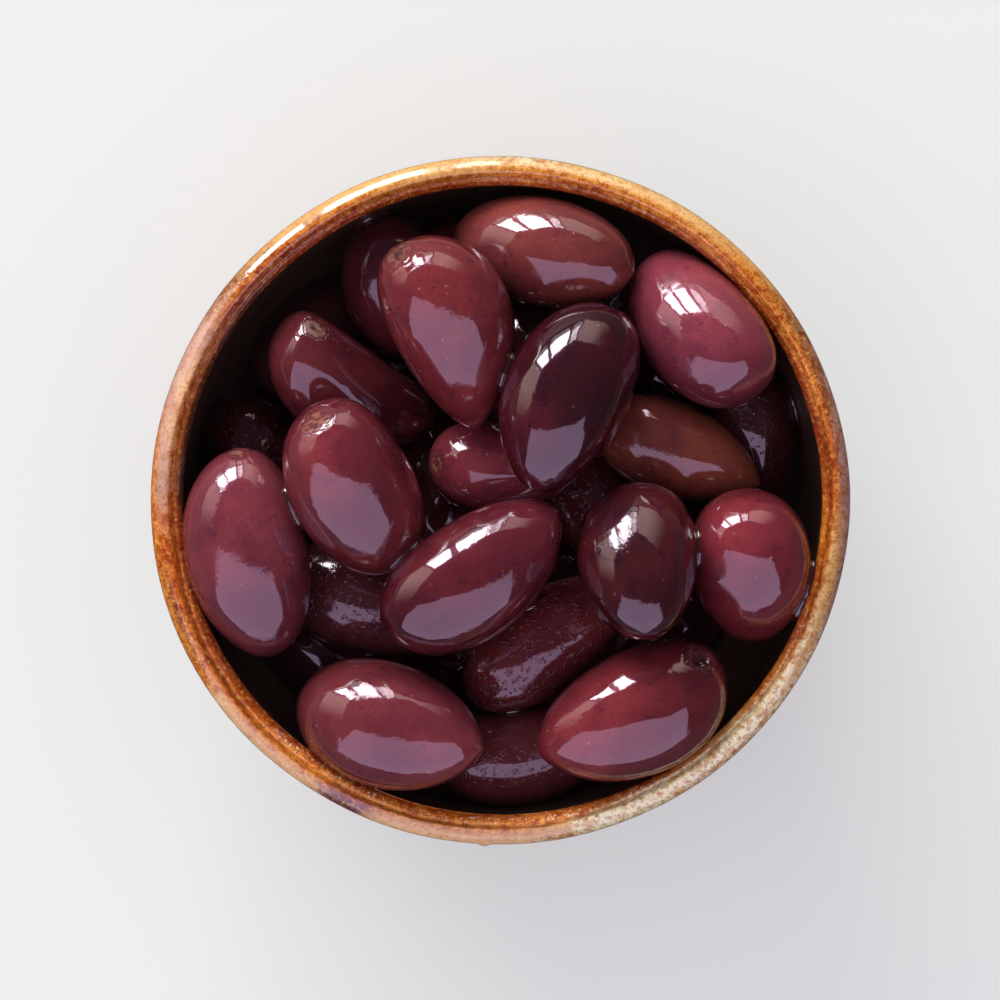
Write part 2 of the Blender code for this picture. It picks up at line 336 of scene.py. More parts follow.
def hill(distance, width):
    return np.exp(-((distance / width) ** 2))


def noise_at(points, size, seed):
    """Smooth noise between about -1 and 1 at each point, with features of the given size."""
    shift = Vector((seed * 7.13, seed * 3.71, seed * 5.37))
    return np.array([noise.noise(Vector(point) / size + shift) for point in points])


def closed_faces(rings, sides):
    """Faces of a closed body: a pole, then rings of vertices, then the other pole."""
    last = 1 + rings * sides
    faces = []
    for side in range(sides):
        after = (side + 1) % sides
        faces += [(0, 1 + after, 1 + side), (last, last - sides + side, last - sides + after)]
    for low in range(1, last - sides, sides):
        high = low + sides
        for side in range(sides):
            after = (side + 1) % sides
            faces.append((low + side, low + after, high + after, high + side))
    return faces


def add_object(name, data):
    made = bpy.data.objects.new(name, data)
    bpy.context.collection.objects.link(made)
    return made


def mesh_piece(name, points, faces, attributes, materials, replaced):
    """A mesh object from points in millimetres, riding on the root body."""
    mesh = bpy.data.meshes.new(name)
    mesh.from_pydata((np.asarray(points) * MM).tolist(), [], faces)
    for key, values in attributes.items():
        values = np.asarray(values, dtype=np.float32)
        kind, field = ("FLOAT", "value") if values.ndim == 1 else ("FLOAT_VECTOR", "vector")
        mesh.attributes.new(key, kind, "POINT").data.foreach_set(field, values.ravel())
    mesh.shade_smooth()
    piece = add_object(name, mesh)
    for made in materials:
        mesh.materials.append(made)
    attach(piece, "root")
    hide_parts(replaced)
    return piece


# ---- small helpers for materials
def fill(tree, socket, value):
    """Links a socket to another one, or sets it to a number or a colour."""
    if isinstance(value, bpy.types.NodeSocket):
        tree.links.new(value, socket)
    elif socket.type == "RGBA":
        socket.default_value = (*value, 1.0)
    else:
        socket.default_value = value


def node(tree, kind, output, inputs=None, **settings):
    """A new node with its settings and inputs; gives back the output asked for."""
    made = tree.nodes.new("ShaderNode" + kind)
    for key, value in settings.items():
        setattr(made, key, value)
    for key, value in (inputs or {}).items():
        fill(tree, made.inputs[key], value)
    return made.outputs[output]


class Finish:
    """A material and its node tree, with one short call for each kind of node."""

    def __init__(self, name):
        self.material = bpy.data.materials.new(name)
        self.material.use_nodes = True
        self.tree = self.material.node_tree
        self.shader = self.tree.nodes["Principled BSDF"]

    def set(self, **values):
        """Sets or links the shader's own sockets."""
        for name, value in values.items():
            fill(self.tree, self.shader.inputs[name.replace("_", " ")], value)

    def attribute(self, name, output="Fac"):
        return node(self.tree, "Attribute", output, attribute_name=name)

    def place(self):
        return node(self.tree, "TexCoord", "Object")

    def noise(self, place, scale, detail=2.0, roughness=0.5):
        inputs = {"Vector": place, "Scale": scale, "Detail": detail, "Roughness": roughness}
        return node(self.tree, "TexNoise", "Fac", inputs)

    def cells(self, place, scale):
        return node(self.tree, "TexVoronoi", "Distance", {"Vector": place, "Scale": scale})

    def spread(self, value, low, high, to_low=0.0, to_high=1.0):
        """value from low..high eased to to_low..to_high."""
        inputs = dict(enumerate((value, low, high, to_low, to_high)))
        return node(self.tree, "MapRange", "Result", inputs, interpolation_type="SMOOTHSTEP")

    def patches(self, place, scale, grain, low, high, most=1.0):
        """Soft-edged patches of noise, from 0 to most. grain is its detail and its roughness."""
        return self.spread(self.noise(place, scale, *grain), low, high, 0.0, most)

    def math(self, operation, a, b=0.0):
        return node(self.tree, "Math", "Value", {0: a, 1: b}, operation=operation)

    def times(self, a, b):
        return self.math("MULTIPLY", a, b)

    def mix(self, factor, a, b, blend="MIX"):
        inputs = {"Factor": factor, 6: a, 7: b}
        return node(self.tree, "Mix", 2, inputs, data_type="RGBA", blend_type=blend)

    def stain(self, amount, colour, tint):
        """The colour multiplied by a tint, as far as amount says."""
        return self.mix(amount, colour, tint, "MULTIPLY")

    def bump(self, height, distance, strength=1.0, normal=None):
        inputs = {"Height": height, "Distance": distance, "Strength": strength}
        if normal is not None:
            inputs["Normal"] = normal
        return node(self.tree, "Bump", "Normal", inputs)


# ---- the bowl
class BowlShape:
    """The bowl's sizes in millimetres, from its settings."""

    def __init__(self, settings):
        for key in ("lip_radius", "lip_top", "mouth_radius", "mouth_shift", "throwing_ribs",
                    "glaze_line"):
            setattr(self, key, getattr(settings, key) / MM)
        self.oval = settings.lip_depth / settings.lip_radius
        self.lip_width = (settings.lip_radius - settings.mouth_radius) / MM


def wall_curve(radius, top, bottom, steps, stop_radius=0.0):
    """Points (r, z) down a full, rounded wall from its top, to stop_radius."""
    points = []
    for step in range(steps + 1):
        drop = (top - bottom) * sin(0.5 * pi * step / steps) ** (2.0 / FULLNESS)
        inside = max(0.0, 1.0 - (drop / (top - bottom)) ** FULLNESS)
        r = radius * inside ** (1.0 / FULLNESS)
        if r < stop_radius:
            break
        points.append((r, top - drop))
    return points


def roll(start, slopes, inward):
    """Points (r, z) from start towards the middle, at each slope in turn; a rise is positive."""
    slopes = np.radians(slopes)
    stride = inward / np.cos(slopes).sum()
    r, z = start[0] - stride * np.cos(slopes).cumsum(), start[1] + stride * np.sin(slopes).cumsum()
    return list(zip(r.tolist(), z.tolist()))


def lip_curve(shape):
    """Points (r, z) from the lip's outer edge over its crest into the crease and the mouth."""
    lip = [(shape.lip_radius, 0.0)]
    for slopes, inward in LIP_ROLL:
        lip += roll(lip[-1], np.linspace(*slopes, 9), inward)
    rise = shape.lip_top - max(z for _, z in lip)
    lip = [(r, z + rise) for r, z in lip]
    r, z = lip[-1]
    crease = [(r - 0.10, z - 0.16), (r - 0.2, z - 0.22), (r - 0.32, z - 0.18), (r - 0.44, z - 0.14)]
    slopes = -44 - 36 * np.linspace(0.04, 0.96, 12) ** 2
    band = roll(crease[-1], slopes, crease[-1][0] - shape.mouth_radius)
    r, z = band[-1]
    band += [(r, z + (MOUTH_HEIGHT - z) * part) for part in (0.35, 0.7, 1.0)]
    return lip + crease + band


def bowl_curve(shape):
    """The half section from the recess under the bowl, up its outside and down its inside."""
    foot = [(FOOT_INNER - FOOT_RECESS, FOOT_RECESS)]
    foot += [(FOOT_INNER - 0.4, 0.25), (FOOT_INNER, 0.0), (FOOT_INNER + 0.3, 0.0)]
    foot += [(FOOT_OUTER - FOOT_CHAMFER - 0.3, 0.0), (FOOT_OUTER - FOOT_CHAMFER, 0.0)]
    foot += [(FOOT_OUTER - 0.2, 0.35), (FOOT_OUTER, FOOT_CHAMFER), (FOOT_OUTER + 0.2, 1.6)]
    outside = wall_curve(WALL_RADIUS, WALL_TOP, WALL_BOTTOM, 46, FOOT_OUTER + 1.2)[::-1]
    inside = wall_curve(CAVITY_RADIUS, CAVITY_TOP, CAVITY_FLOOR, 40)
    return foot + outside + lip_curve(shape) + inside[:-1]


def across_the_lip(shape, r, z, inner):
    """0 at the lip's outer edge and 1 at the mouth; below 0 down the outside, above 1 inside."""
    width = shape.lip_width
    if inner and z < MOUTH_HEIGHT:
        return 1.0 + (MOUTH_HEIGHT - z) / width
    if not inner and z < shape.lip_top - LIP_ARC_RISE:
        return -(shape.lip_top - LIP_ARC_RISE - z) / width
    return (shape.lip_radius - r) / width


def read_round(angle, stops, table):
    """The table's rows, one for each stop round the lip, read at each angle."""
    columns = np.transpose(table)
    return np.stack([np.interp(angle, list(stops), row, period=360) for row in columns], 1)


def crease_row(angle, column):
    """A column of the crease's table at each angle."""
    return np.interp(angle, [row[0] for row in CREASE], [row[column] for row in CREASE], period=360)


def pour_colours(settings, angle, across, points):
    """The glaze's colour and blotchiness at each point of the bowl."""
    angle = angle + 1.3 * noise_at(points, 1.5, 3) + 1.0 * noise_at(points, 0.6, 4)
    across = across + 0.05 * noise_at(points, 1.1, 5) + 0.03 * noise_at(points, 0.5, 7)

    def look(name):
        return (*getattr(settings, name), BLOTCHY.get(name, 1.0))

    bands = zip(*(glazes.split() for glazes in POURS.values()))
    rows = np.array([read_round(angle, POURS, [look(name) for name in band]) for band in bands])
    index = np.clip(np.searchsorted(BANDS, across) - 1, 0, len(BANDS) - 2)
    low, high = np.array(BANDS)[index], np.array(BANDS)[index + 1]
    part = np.clip((across - low) / (high - low), 0, 1)[:, None]
    column = np.arange(len(angle))
    lip = rows[index, column] * (1 - part) + rows[index + 1, column] * part
    off = across - crease_row(angle, 1)
    line = crease_row(angle, 2) * hill(off, 0.042)
    line = (0.8 * line * (0.75 + 0.6 * noise_at(points, 0.8, 8))).clip(0, 1)[:, None]
    tint = read_round(angle, [row[0] for row in CREASE], [look(row[3]) for row in CREASE])
    lip = lip * (1 - line) + tint * line
    first, second, foot = [np.array(look(name)) for name in OUTSIDE]
    runs = points * (1.0, 1.0, 0.35)
    pick = (0.5 + 0.6 * noise_at(runs, 4.5, 6) + 0.35 * noise_at(runs, 1.7, 9)).clip(0, 1)[:, None]
    low_down = (0.7 * soft_step(-across, 3.5, 9.8))[:, None]
    wall = (first * (1 - pick) + second * pick) * (1 - low_down) + foot * low_down
    down = soft_step(-across, 0.0, 1.6)[:, None]
    inside = soft_step(across, 0.98, 1.08)[:, None]
    result = lip * (1 - down) + wall * down
    return result * (1 - inside) + np.array((*settings.soot, 0.0)) * inside


def glaze_finish(settings):
    """Runny, mottled stoneware glaze with iron specks under a glossy skin."""
    made = Finish("stoneware_glaze")
    place = made.place()
    run = made.attribute("run", "Vector")
    pour = made.attribute("pour", "Vector")
    blotchy = made.attribute("blotchy")
    glazed = made.spread(blotchy, 0.0, 0.3)
    cloud = made.patches(run, 0.55, (3.0, 0.6), 0.50, 0.70, 0.45)
    thin = made.patches(place, 560.0, (3.0, 0.6), 0.49, 0.58, 0.85)
    light = made.patches(place, 1700.0, (3.0, 0.65), 0.53, 0.63, 0.80)
    sponge = made.patches(place, 1250.0, (4.0, 0.68), 0.49, 0.58, 0.85)
    grain = made.patches(place, 3000.0, (2.0, 0.6), 0.58, 0.66, 0.60)
    painted_glints = made.patches(place, 2300.0, (1.0,), 0.60, 0.70)
    painted_glints = made.times(painted_glints, made.spread(made.attribute("beaded"), 0.3, 0.9))
    colour = made.stain(made.times(cloud, blotchy), pour, (0.72, 0.55, 0.45))
    colour = made.stain(made.times(thin, blotchy), colour, (0.74, 0.48, 0.24))
    colour = made.mix(made.times(light, blotchy), colour, made.mix(0.55, colour, (1.0, 0.54, 0.11)))
    colour = made.stain(made.times(sponge, blotchy), colour, (0.58, 0.29, 0.11))
    colour = made.stain(made.times(grain, glazed), colour, (0.40, 0.23, 0.18))
    # painted glints: pale dots mixed into the colour on the band inside the crease, in place of
    # sparkles of reflected light
    colour = made.mix(made.times(painted_glints, 0.8), colour, tuple(settings.bead))
    lumps = made.bump(made.noise(place, 750.0, 2.0), 0.00003, made.times(glazed, 0.4))
    lumps = made.bump(made.noise(place, 3400.0, 2.0), 0.00005, made.attribute("beaded"), lumps)
    pits = made.bump(made.noise(place, 2600.0, 2.0), 0.00005, made.times(glazed, 0.8), lumps)
    coat = made.spread(glazed, 0.0, 1.0, 0.10, 1.0)
    made.set(Base_Color=colour, Roughness=0.28, Normal=pits, Coat_Weight=coat)
    made.set(Specular_IOR_Level=0.18, Coat_Roughness=0.03, Coat_Normal=lumps, Coat_IOR=1.6)
    return made.material


def clay_finish(settings):
    """Bare fired clay on the foot."""
    made = Finish("bare_clay")
    grit = made.noise(made.place(), 1800.0, 4.0, 0.7)
    colour = made.mix(grit, tuple(settings.clay_dark), tuple(settings.clay_light))
    made.set(Base_Color=colour, Roughness=0.85, Normal=made.bump(grit, 0.0001, 0.6))
    return made.material


def make_bowl(settings):
    shape = BowlShape(settings)
    curve = bowl_curve(shape)
    crest = max(range(len(curve)), key=lambda row: curve[row][1])
    turn = np.linspace(0, 2 * pi, BOWL_SIDES, endpoint=False)
    lip_rise = 0.10 * wander(turn, 11, (2, 3, 5, 9))
    lip_sway = 0.15 + 0.05 * wander(turn, 12, (3, 4, 7, 13))
    groove = 0.5 + 0.5 * wander(turn, 13, (5, 8, 17, 31))
    crumble = wander(turn, 14, (23, 41, 59, 83, 121))
    rib_sway = 1 + 0.6 * wander(turn, 16, (1, 2))
    drip_side = np.angle(np.exp(1j * (turn - radians(DRIP_ANGLE)))) * shape.lip_radius
    crease = crease_row(np.degrees(turn), 1) + 0.04
    groove_z = min(z for r, z in curve[crest:] if shape.lip_radius - r < GROOVE * shape.lip_width)
    points, angles, across = [(0.0, 0.0, FOOT_RECESS)], [0.0], [-9.0]
    for row, (r, z) in enumerate(curve):
        inner = row > crest
        place = across_the_lip(shape, r, z, inner)
        spread = np.full(BOWL_SIDES, place)
        fall = 0.0
        if inner and SHOULDER < place <= GROOVE:
            spread = SHOULDER + (place - SHOULDER) * (crease - SHOULDER) / (GROOVE - SHOULDER)
        elif inner and GROOVE < place and z >= MOUTH_HEIGHT:
            wider = (1 - crease) / (1 - GROOVE)
            spread = crease + (place - GROOVE) * wider
            fall = np.maximum((z - groove_z) * (wider - 1), MOUTH_HEIGHT - z)
        r = r + (place - spread) * shape.lip_width
        on_lip = float(soft_step(np.array(z), shape.lip_top - 14, shape.lip_top - 2))
        radius = r + on_lip * (lip_sway + 0.05 * wander(turn + z / 3.0, 15, (2, 5)))
        height = z + fall + lip_rise * on_lip
        if 3.0 < z < shape.lip_top - 5:
            radius = radius + sin(2 * pi * z / RIB_STEP) * shape.throwing_ribs * rib_sway
        side = abs(place - CREASE_MIDDLE) / CREASE_HALF
        if inner and side < 1:
            height = height - CREASE_DEPTH * groove * (1 - side) - 0.03 * crumble
        elif inner and CREASE_MIDDLE < place < 1.0:
            height = height + 0.05 * crumble
            radius = radius + 0.03 * crumble
        if not inner and z > 38:
            drop = hill(z - DRIP_HEIGHT, 3.4 if z < DRIP_HEIGHT else 0.9)
            radius = radius + DRIP_OUT * hill(drip_side, DRIP_WIDTH) * drop
        shift = shape.mouth_shift * float(soft_step(np.array(place), 0.45, 0.9)) if inner else 0.0
        ring = (radius * np.cos(turn) + shift, shape.oval * radius * np.sin(turn), height)
        points += np.stack(ring, 1).tolist()
        angles += np.degrees(turn).tolist()
        across += spread.tolist()
    points.append((0.0, 0.0, CAVITY_FLOOR))
    points = np.array(points)
    points[:, 2] = np.maximum(points[:, 2], 0.0)
    angles = np.array(angles + [0.0])
    across = np.array(across + [9.0])
    turns = np.radians(angles)
    run = np.stack([CREST_RADIUS * np.cos(turns), CREST_RADIUS * np.sin(turns), across * 5.5], 1)
    pour = pour_colours(settings, angles, across, points)
    stops, strengths = np.array(BEADS_AND_PAINTED_GLINTS).T
    # where the glaze inside the crease is bumpy, and where the painted glints lie
    beaded = np.interp(angles, stops, strengths, period=360) * hill(across - 0.80, 0.14)
    faces = closed_faces(len(curve), BOWL_SIDES)
    marks = {"pour": pour[:, :3], "blotchy": pour[:, 3], "run": run, "beaded": beaded}
    finishes = [glaze_finish(settings), clay_finish(settings)]
    bowl = mesh_piece("stoneware_bowl", points, faces, marks, finishes, "bowl")
    reach = (FOOT_OUTER + 6.5) * MM
    for face in bowl.data.polygons:
        low = face.center.z < shape.glaze_line * MM
        face.material_index = int(low and hypot(face.center.x, face.center.y) < reach)
    return bowl


# ---- the olives
def olive_axes(olive):
    turn, lift = radians(olive.heading), radians(olive.rise)
    along = np.array((cos(turn) * cos(lift), sin(turn) * cos(lift), sin(lift)))
    across = np.array((-sin(turn), cos(turn), 0.0))
    return along, across, np.cross(along, across)


def skin_point(olive, t, around):
    """Points on an olive's plain shape, at a part t of its length and an angle round it."""
    along, across, up = olive_axes(olive)
    widest = olive.stem / (olive.stem + olive.tip)
    full = widest**olive.stem * (1 - widest) ** olive.tip
    radius = 0.5 * olive.width * t**olive.stem * (1 - t) ** olive.tip / full
    sway = olive.bend * (0.5 - (2 * t - 1) ** 2)
    centre = np.array(olive.middle) + along * (olive.length * (t - 0.5))[..., None]
    centre = centre + across * sway[..., None]
    ring = across * np.cos(around)[..., None] + up * np.sin(around)[..., None]
    return centre + ring * radius[..., None]


def olive_shape(olive, number, sides, rings, settings):
    """Points, faces and attributes of one olive, with its stem scar, its tip and soft dents."""
    steps = (1 - np.cos(pi * np.arange(rings + 2) / (rings + 1))) / 2
    t, around = np.meshgrid(steps[1:-1], 2 * pi * np.arange(sides) / sides, indexing="ij")
    t = np.concatenate([[0.0], t.ravel(), [1.0]])
    around = np.concatenate([[0.0], around.ravel(), [0.0]])
    points = skin_point(olive, t, around)
    core = np.array(olive.middle) + olive_axes(olive)[0] * (olive.length * 0.8 * (t - 0.5))[:, None]
    out = points - core
    out /= np.linalg.norm(out, axis=1)[:, None]
    seed = 20 + number
    dents = settings.dent / MM * noise_at(points, 6.5, seed) + 0.03 * noise_at(points, 2.4, seed + 50)
    scar = skin_point(olive, np.array(olive.scar[0]), np.array(radians(olive.scar[1])))
    far = np.linalg.norm(points - scar, axis=1) * (1 + 0.22 * noise_at(points, 1.6, seed + 90))
    size = settings.scar_radius / MM * olive.scar_size
    hole = settings.scar_depth / MM * olive.hollow * hill(far, (0.27 + 0.06 * olive.hollow) * size)
    pit = -0.12 * (1 - soft_step(far, 0.7 * size, 1.1 * size)) - hole
    folds = 0.07 * hill(far - 1.25 * size, 0.3) - 0.04 * hill(far - 1.7 * size, 0.3)
    tip = np.linalg.norm(points - skin_point(olive, np.array(1.0), np.array(0.0)), axis=1)
    points = points + out * (dents + pit + folds + 0.18 * hill(tip, 0.8))[:, None]
    rng = np.random.default_rng(seed)
    girth = olive.width * np.sqrt(np.clip(t * (1 - t), 0, 1))
    own = np.stack([(t - 0.5) * olive.length, np.cos(around) * girth, np.sin(around) * girth], 1)
    own += rng.uniform(-90, 90, 3)
    # painted shade: the skin is darker the more it faces sideways or down
    painted_side_shade = 1 - settings.painted_side_shade * (1 - np.clip(out[:, 2:], 0, 1)) ** 1.5
    # painted shade: the skin round the scar is darker the deeper the scar is
    deep = 1 - 0.2 * (olive.hollow - 1) * hill(far, 1.1 * size)
    tone = np.array(olive.tone) * painted_side_shade * (1 + olive.tip_lightening * (2 * t - 1))[:, None] * deep[:, None]
    marks = {"skin_place": own, "tone": tone, "scar": far / size,
             "drops": np.full(len(points), olive.drops)}
    return points, closed_faces(rings, sides), marks


def skin_finish(kind, settings):
    """Olive skin under a film of brine: flesh colour, bruises, pale pores and a clear wet coat."""
    parts = ("", "_glow", "_bruise")
    flesh, glow, bruise = [tuple(getattr(settings, kind + part)) for part in parts]
    bruised = KINDS[kind]
    made = Finish(f"{kind}_skin")
    place = made.attribute("skin_place", "Vector")
    wide = made.patches(place, 0.085, (2.0,), 0.38, 0.62)
    cloud = made.spread(made.noise(place, 0.24, 3.0, 0.6), 0.50, 0.72, 0.0, bruised)
    blot = made.spread(made.noise(place, 0.50, 3.0, 0.66), 0.60, 0.70, 0.0, bruised)
    colour = made.mix(wide, flesh, glow)
    colour = made.mix(cloud, colour, bruise)
    colour = made.mix(blot, colour, made.stain(1.0, bruise, (0.58, 0.65, 1.3)))
    grain = made.patches(place, 2.2, (4.0, 0.7), 0.35, 0.70, 0.42)
    colour = made.stain(grain, colour, (0.58, 0.40, 0.62))
    pore = made.spread(made.cells(place, 0.42), 0.04, 0.11, 1.0, 0.0)
    some = made.patches(place, 0.35, (1.0,), 0.44, 0.60, 0.58)
    colour = made.mix(made.times(pore, some), colour, tuple(settings.speck))
    uneven = made.spread(made.noise(place, 0.55, 2.0), 0.2, 0.8, -0.22, 0.22)
    far = made.math("ADD", made.attribute("scar"), uneven)
    disc = made.spread(far, 0.60, 1.05, 0.52, 0.0)
    ring = made.spread(made.math("ABSOLUTE", made.math("SUBTRACT", far, 1.02)), 0.0, 0.15, 1.0, 0.0)
    hole = made.spread(far, 0.18, 0.42, 1.0, 0.0)
    bark = made.mix(made.patches(place, 1.6, (3.0,), 0.4, 0.6), (0.07, 0.020, 0.014),
                    (0.34, 0.155, 0.105))
    colour = made.mix(disc, colour, bark)
    colour = made.mix(made.times(ring, 0.30), colour, (0.035, 0.010, 0.008))
    colour = made.mix(made.times(hole, 0.75), colour, (0.030, 0.010, 0.007))
    # tone holds each olive's own colour, with the painted shade on its sides and round deep scars
    colour = made.stain(1.0, colour, made.attribute("tone", "Vector"))
    swell = made.bump(made.noise(place, 0.30, 2.0, 0.5), 0.00012, 0.5)
    patchy = made.patches(place, 0.16, (1.0,), 0.50, 0.62)
    ripple = made.times(made.noise(place, 1.1, 3.0, 0.6), patchy)
    film = made.bump(ripple, 0.00006, 0.7, swell)
    film = made.bump(made.times(ring, -1.0), 0.00010, 0.6, film)
    bead = made.patches(place, 1.25, (2.0, 0.6), 0.57, 0.66)
    film = made.bump(bead, 0.00010, made.attribute("drops"), film)
    fine = made.bump(made.noise(place, 3.2, 2.0), 0.00002, 0.4, film)
    made.set(Base_Color=colour, Roughness=0.13, Normal=fine, Specular_IOR_Level=0.20)
    made.set(Specular_Tint=(1.0, 0.55, 1.0), Coat_Weight=1.0, Coat_Roughness=0.015)
    made.set(Coat_Normal=film, Coat_IOR=1.54)
    return made.material


def make_olives(kind, settings):
    points, faces, parts = [], [], []
    for number, olive in enumerate(OLIVES):
        if olive.kind != kind:
            continue
        sides, rings = FINE if number < UPPER else PLAIN if number < UPPER + UNDER else COARSE
        shape, shape_faces, marks = olive_shape(olive, number, sides, rings, settings)
        faces += [tuple(index + len(points) for index in face) for face in shape_faces]
        points += shape.tolist()
        parts.append(marks)
    marks = {key: np.concatenate([part[key] for part in parts]) for key in parts[0]}
    return mesh_piece(f"{kind}_olives", points, faces, marks, [skin_finish(kind, settings)],
                      "olive_heap")


# ---- what lies under them
def make_core(finish, shape):
    """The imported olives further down, as one lumpy mound that fills the bowl under the rest."""
    sides, rings, reach, shore = 120, 40, 38.0, 19.5
    crown, lump_size, lump_depth, slump = 27.0, 13.0, 9.0, 4.0
    turn = 2 * pi * np.arange(sides) / sides
    points = [(0.0, 0.0, 25.0)]
    for ring in range(1, rings + 1):
        part = ring / rings
        for a in turn:
            x, y = reach * part * cos(a), shape.oval * reach * part * sin(a)
            lump = noise.voronoi(Vector((x / lump_size, y / lump_size, 0.3)))[0][0]
            points.append((x, y, max(crown - lump_depth * lump - slump * part**3, shore)))
    under = [(r - 1.2, z) for r, z in wall_curve(CAVITY_RADIUS, CAVITY_TOP, CAVITY_FLOOR + 0.5, 40)
             if z < shore - 1.0][:-1]
    for r, z in under:
        points += [(r * cos(a), shape.oval * r * sin(a), z) for a in turn]
    points.append((0.0, 0.0, CAVITY_FLOOR + 0.5))
    faces = [face[::-1] for face in closed_faces(rings + len(under), sides)]
    points = np.array(points)
    count = len(points)
    marks = {"skin_place": points, "tone": np.full((count, 3), 1.0),
             "scar": np.full(count, 9.0), "drops": np.zeros(count)}
    return mesh_piece("packed_olives_below", points, faces, marks, [finish],
                      "olive_heap")


# ---- the brine between them
NEIGHBOURS = 32.0  # olives with their middles further apart than this don't meet
OLIVE_GAPS, WALL_GAPS = (-2.0, 0.55), (-1.0, 0.9)  # from pressed in to apart, that brine spans
WALL_OPENING, WALL_REACH = 0.2, 1.0  # how much more of it clings along the bowl's wall


def bvh_of(points, faces):
    return BVHTree.FromPolygons([tuple(point) for point in points], faces)


def nearest_touch(points, tree):
    """Where points of one surface come nearest to another: gap, the two places, its normal."""
    best = None
    for point in points:
        place, normal, _, far = tree.find_nearest(Vector(point), 4.0)
        if place is None:
            continue
        gap = far if (Vector(point) - place).dot(normal) > 0 else -far
        if best is None or gap < best[0]:
            best = (gap, Vector(point), place, normal)
    return best


def collar(first, second, touch, opening, reach):
    """Rows of points of a hollow-sided collar of brine round a touch, out to the gap it fills.
    There are none where it has no room."""
    _, near, place, normal = touch
    middle = (near + place) / 2
    side = normal.orthogonal().normalized()
    other = normal.cross(side)
    rows, turns, bends = [], 40, 8
    ray, stride, sag = 7.0, 0.12, 0.85
    for step in range(turns):
        angle = 2 * pi * step / turns
        out = side * cos(angle) + other * sin(angle)
        for part in range(1, int(reach / stride)):
            spot = middle + out * stride * part
            high = first.ray_cast(spot - normal * ray, normal, 2 * ray)[0]
            low = second.ray_cast(spot + normal * ray, -normal, 2 * ray)[0]
            if high is None or low is None:
                return []
            if (high - low).dot(normal) >= opening:
                break
        else:
            return []
        centre, half = (high + low) / 2, (high - low) / 2
        row = []
        for bend in range(bends + 1):
            a = pi * bend / bends
            row.append(centre + half * cos(a) - out * half.length * sin(a) * sag)
        rows.append(row)
    return rows


def make_brine(bowl, olive_settings, settings, finish):
    opening, reach = settings.gap / MM, settings.reach / MM
    bodies = []
    for number, olive in enumerate(OLIVES):
        points, faces, _ = olive_shape(olive, number, 44, 34, olive_settings)
        bodies.append((olive, points[::3], bvh_of(points, faces)))
    wall = bvh_of([vert.co / MM for vert in bowl.data.vertices],
                  [tuple(face.vertices) for face in bowl.data.polygons])
    points, faces = [], []
    for index, (olive, skin, tree) in enumerate(bodies):
        meets = [(other_tree, OLIVE_GAPS, opening, reach)
                 for other, _, other_tree in bodies[index + 1:]
                 if (Vector(olive.middle) - Vector(other.middle)).length <= NEIGHBOURS]
        meets.append((wall, WALL_GAPS, opening + WALL_OPENING, reach + WALL_REACH))
        for other_tree, gaps, widest, furthest in meets:
            touch = nearest_touch(skin, other_tree)
            if not touch or not gaps[0] < touch[0] < gaps[1]:
                continue
            rows = collar(tree, other_tree, touch, widest, furthest)
            start = len(points)
            for number, row in enumerate(rows):
                here = start + number * len(row)
                after = start + (number + 1) % len(rows) * len(row)
                faces += [(here + k, after + k, after + k + 1, here + k + 1)
                          for k in range(len(row) - 1)]
                points += [tuple(point) for point in row]
    return mesh_piece("brine_collars", points, faces, {}, [finish], "olive_heap")


def brine_finish(settings):
    """Brine stained by the olives: dark, clear-topped and mirror smooth."""
    made = Finish("brine")
    cloud = made.noise(made.place(), 300.0)
    colour = made.mix(cloud, tuple(settings.dark), tuple(settings.light))
    made.set(Base_Color=colour, Roughness=0.03, Coat_Weight=1.0, Coat_Roughness=0.0)
    return made.material


# ---- the stage
WINDOW_FAR = 1.9  # metres
WINDOW_TURN = 114.0
PANES = [(90.0, 98.5), (102.5, 121.0), (125.0, 138.0)]  # where each pane starts and ends
PANE_RISE = (10.0, 32.0)  # how high its bright part starts and ends, as angles
VIEW_RISE, VIEW_RADIANCE = (3.0, 9.2), 1.6  # and the dimmer view under it
ROOM_SEEN, ROOM_IN_GLOSS, FLOOR_IN_GLOSS, FLOOR_BOUNCE = 0.78, 0.05, 0.06, 0.80


def soft_box(name, azimuth, low, high, width, tint, radiance, slide=0.0, seen=True, fade=None):
    """A rectangular lamp facing the bowl. low and high are its edges' distance and height, and
    slide moves it sideways, anticlockwise. All are in metres. It is either seen in glossy things
    or lights the matt ones. fade is the side, 0 right or 1 left, towards which it dies away."""
    turn = radians(azimuth)
    out, side = Vector((cos(turn), sin(turn), 0.0)), Vector((-sin(turn), cos(turn), 0.0))
    bottom = out * low[0] + Vector((0, 0, low[1]))
    top = out * high[0] + Vector((0, 0, high[1]))
    tall = (top - bottom).length
    rise = (top - bottom).normalized()
    data = bpy.data.lights.new(name, "AREA")
    data.shape = "RECTANGLE"
    data.size = width
    data.size_y = tall
    data.color = tint
    data.energy = radiance * pi * width * tall
    lamp = add_object(name, data)
    lamp.visible_glossy = seen
    lamp.visible_diffuse = not seen
    axes = Matrix((side, rise, side.cross(rise))).transposed()
    lamp.matrix_world = Matrix.Translation((bottom + top) / 2 + side * slide) @ axes.to_4x4()
    if fade is not None:
        data.use_nodes = True
        tree = data.node_tree
        across = node(tree, "SeparateXYZ", "X", {0: node(tree, "NewGeometry", "Parametric")})
        ease = node(tree, "MapRange", "Result", {0: across, 1: float(fade), 2: 0.8 - 0.6 * fade},
                    interpolation_type="SMOOTHSTEP")
        fill(tree, tree.nodes["Emission"].inputs["Strength"], ease)


